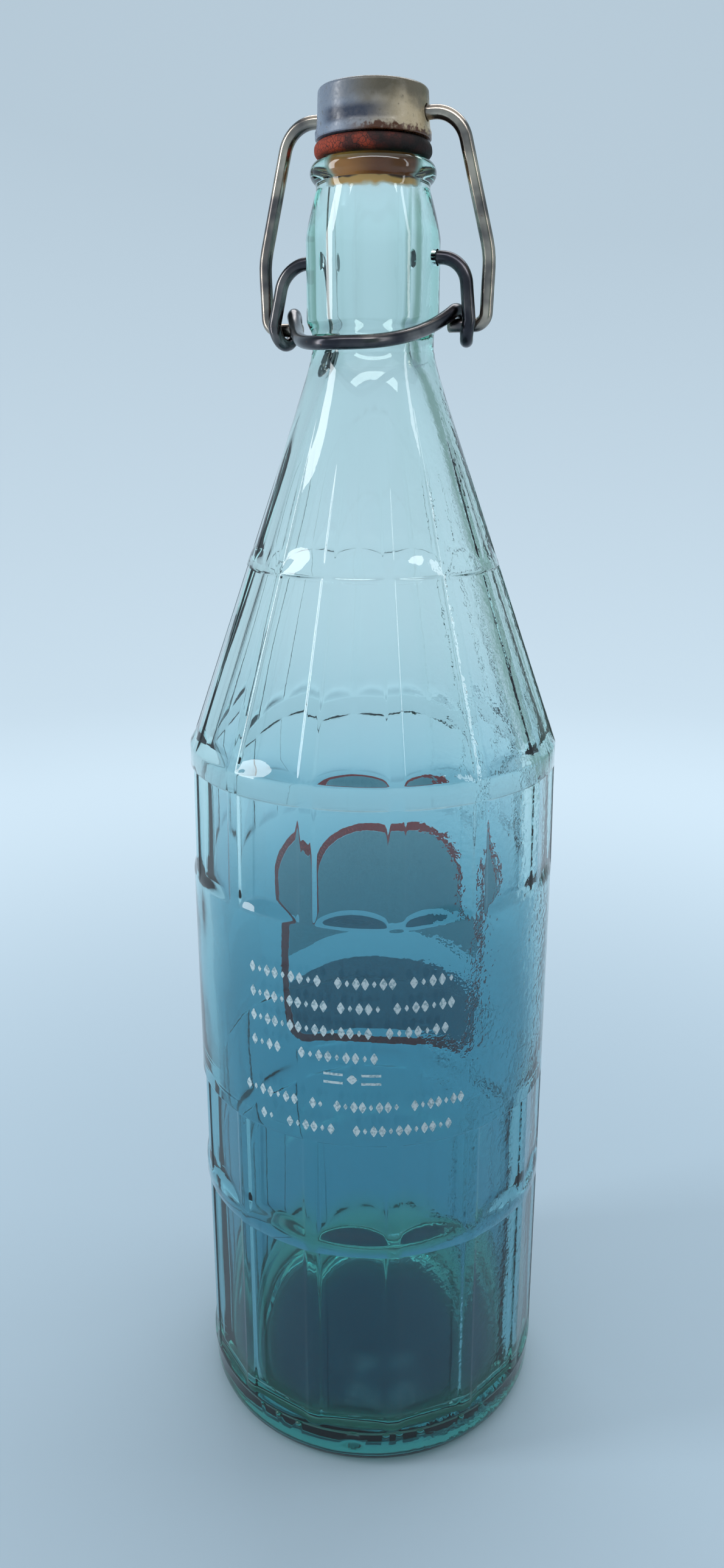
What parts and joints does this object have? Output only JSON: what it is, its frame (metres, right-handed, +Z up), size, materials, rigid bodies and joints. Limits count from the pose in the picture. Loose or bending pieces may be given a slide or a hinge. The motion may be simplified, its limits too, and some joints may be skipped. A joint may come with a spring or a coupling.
{
  "type": "swing-top soda bottle",
  "caption": "Tall glass bottle with tiers of flat panels, a round label band and a conical shoulder, shut by a bent-wire lever closure with a stopper and a rubber washer.",
  "frame": {"origin": "middle of the ring that the bottle stands on, in the plane of the table", "axes": "+Z up along the bottle, X along the hinge lines of the closure, -Y towards the lever's bow"},
  "size_m": [0.088, 0.088, 0.3152],
  "materials": {
    "aqua_glass": "clear, pale aqua, glossy",
    "steel_wire": "bare drawn wire, darkened with age",
    "stopper_plastic": "milky grey, worn",
    "washer_rubber": "red-brown, matt"
  },
  "bodies": {
    "bottle": {"bottle_glass": "aqua_glass"},
    "lever": {"lever_wire": "steel_wire"},
    "bail": {"bail_wire": "steel_wire"},
    "stopper_unit": {"stopper": "stopper_plastic", "sealing_washer": "washer_rubber"}
  },
  "joints": [
    {"name": "lever_pivot", "type": "hinge", "parent": "bottle", "child": "lever", "pos_m": [0, 0, 0.2827], "axis": [-1, 0, 0], "range_deg": [0, 110]},
    {"name": "bail_pivot", "type": "hinge", "parent": "lever", "child": "bail", "pos_m": [0, 0.0005, 0.2692], "axis": [-1, 0, 0], "range_deg": [-75, 0]},
    {"name": "stopper_pivot", "type": "hinge", "parent": "bail", "child": "stopper_unit", "pos_m": [0, 0, 0.3101], "axis": [-1, 0, 0], "range_deg": [-27, 0]}
  ],
  "couplings": [
    {"joint": "bail_pivot", "follows": "lever_pivot", "ratio": -0.68},
    {"joint": "stopper_pivot", "follows": "lever_pivot", "ratio": -0.24}
  ]
}
